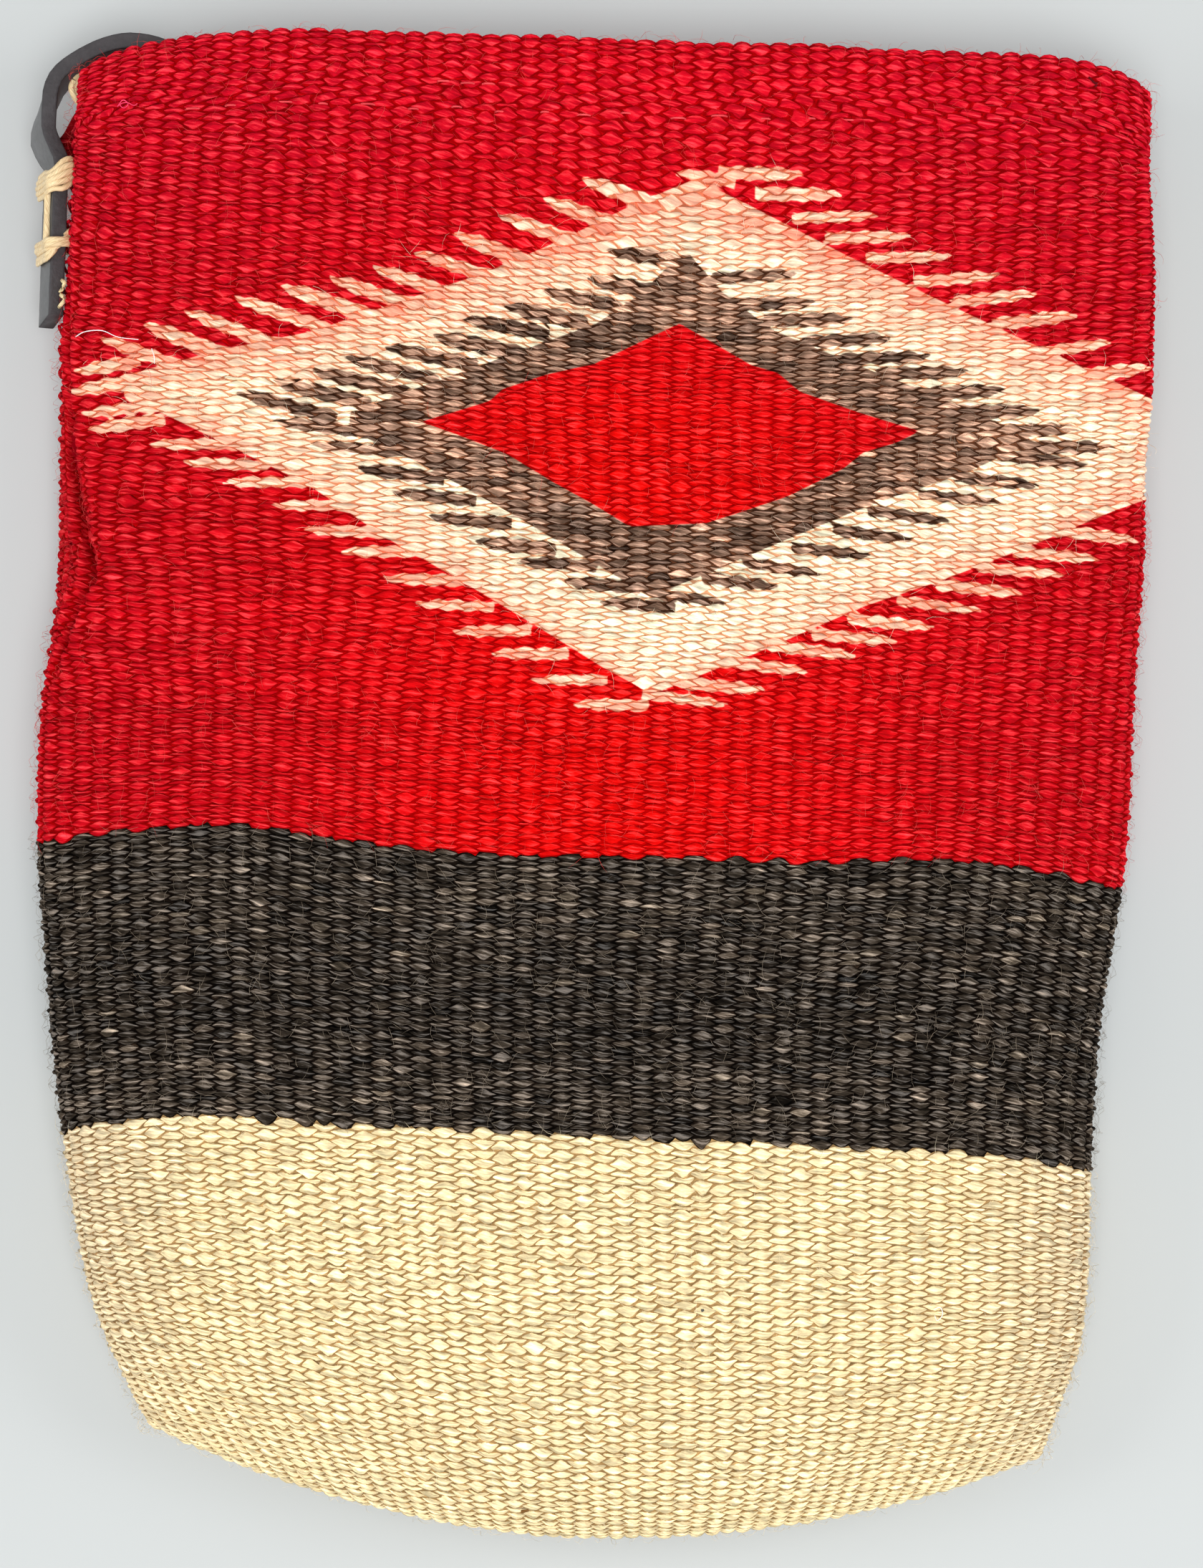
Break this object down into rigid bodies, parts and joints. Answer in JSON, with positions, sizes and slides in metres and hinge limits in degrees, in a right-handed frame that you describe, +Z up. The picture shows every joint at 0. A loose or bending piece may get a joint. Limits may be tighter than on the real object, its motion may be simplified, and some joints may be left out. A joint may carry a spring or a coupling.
{
  "type": "handbag",
  "caption": "Flat hand-woven wool handbag with a folded bottom, sewn sides, an open hemmed mouth and a black leather strap handle tucked into the mouth.",
  "frame": {"origin": "a point on the flat resting face, near the middle of the bag's back", "axes": "the bag lies on its back: +X across the front to the right, +Y from the bottom fold to the mouth, +Z up through the front"},
  "size_m": [0.2198, 0.2907, 0.034],
  "materials": {
    "wool": "matt hand-woven wool, red with charcoal and natural cream fields",
    "leather": "black strap leather, smooth on the grain side and rough on the cut edges",
    "waxed_thread": "flat waxed thread with a slight shine"
  },
  "bodies": {
    "root": {"woven_body": "wool", "handle_strap": "leather", "left_lashing": "waxed_thread", "right_lashing": "waxed_thread", "left_seam_knot": "waxed_thread", "right_seam_knot": "waxed_thread"}
  },
  "joints": []
}
